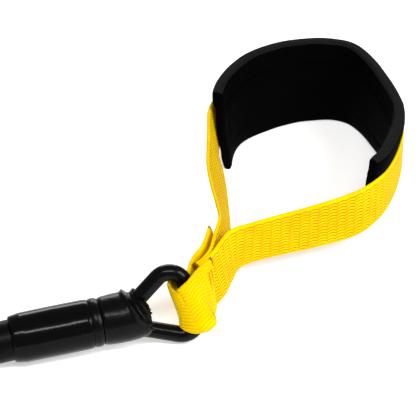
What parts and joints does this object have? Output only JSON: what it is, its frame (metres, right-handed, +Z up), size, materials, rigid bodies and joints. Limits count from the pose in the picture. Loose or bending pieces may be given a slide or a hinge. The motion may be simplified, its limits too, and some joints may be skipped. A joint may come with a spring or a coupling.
{
  "type": "exercise cord with padded hand loop",
  "caption": "Elastic exercise cord, coiled, with a padded webbing hand loop on a triangular ring held in a moulded cord end, and a bare ring on its far end.",
  "frame": {"origin": "on the table, at the middle of the hand loop", "axes": "+Z up, the way a hand goes through the loop; the cord leaves towards -X; +Y is the padded far side of the loop"},
  "size_m": [0.4261, 0.2375, 0.0421],
  "materials": {
    "moulding": "satin moulded rubber-like plastic",
    "sleeve": "smooth, glossy",
    "ferrule": "plain, hidden",
    "plug": "turned, hidden",
    "ring": "gloss black coating",
    "cord": "smooth elastic tube",
    "webbing": "yellow woven webbing",
    "web_thread": "yellow sewing thread",
    "lining": "black knitted lining",
    "foam": "cut edge of black cellular foam",
    "pad_thread": "black sewing thread"
  },
  "bodies": {
    "cord_end": {"ring_boot": "moulding", "boot_band": "moulding", "end_sleeve": "sleeve", "crimp_ferrule": "ferrule", "anchor_plug": "plug", "tube_end": "cord", "cord_run": "cord", "cord_coil": "cord", "cord_tail": "cord", "far_tube_end": "cord", "far_sleeve": "sleeve", "far_ferrule": "ferrule", "far_plug": "plug", "far_band": "moulding", "far_boot": "moulding"},
    "hand_ring": {"hand_ring": "ring"},
    "hand_loop": {"ring_tab": "webbing", "neck_stitching": "web_thread", "loop_webbing": "webbing", "pad_outer_lining": "lining", "pad_foam": "foam", "pad_inner_lining": "lining", "pad_stitch_upper": "pad_thread", "pad_stitch_lower": "pad_thread", "pad_tack_right": "pad_thread", "pad_tack_left": "pad_thread"},
    "far_ring": {"far_ring": "ring"}
  },
  "joints": [
    {"name": "hand_ring_swing", "type": "hinge", "parent": "cord_end", "child": "hand_ring", "pos_m": [-0.0773, -0.0901, 0.0126], "axis": [-0.1206, 0.3221, 0.939], "range_deg": [-5, 5]},
    {"name": "loop_swing", "type": "hinge", "parent": "hand_ring", "child": "hand_loop", "pos_m": [-0.05203, -0.08691, 0.01916], "axis": [-0.3242, 0.3002, 0.8971], "range_deg": [-129, 31]},
    {"name": "far_ring_swing", "type": "hinge", "parent": "cord_end", "child": "far_ring", "pos_m": [-0.2781, -0.03666, 0.0105], "axis": [-0.4226, 0.9063, 0], "range_deg": [-0.8, 9]}
  ]
}
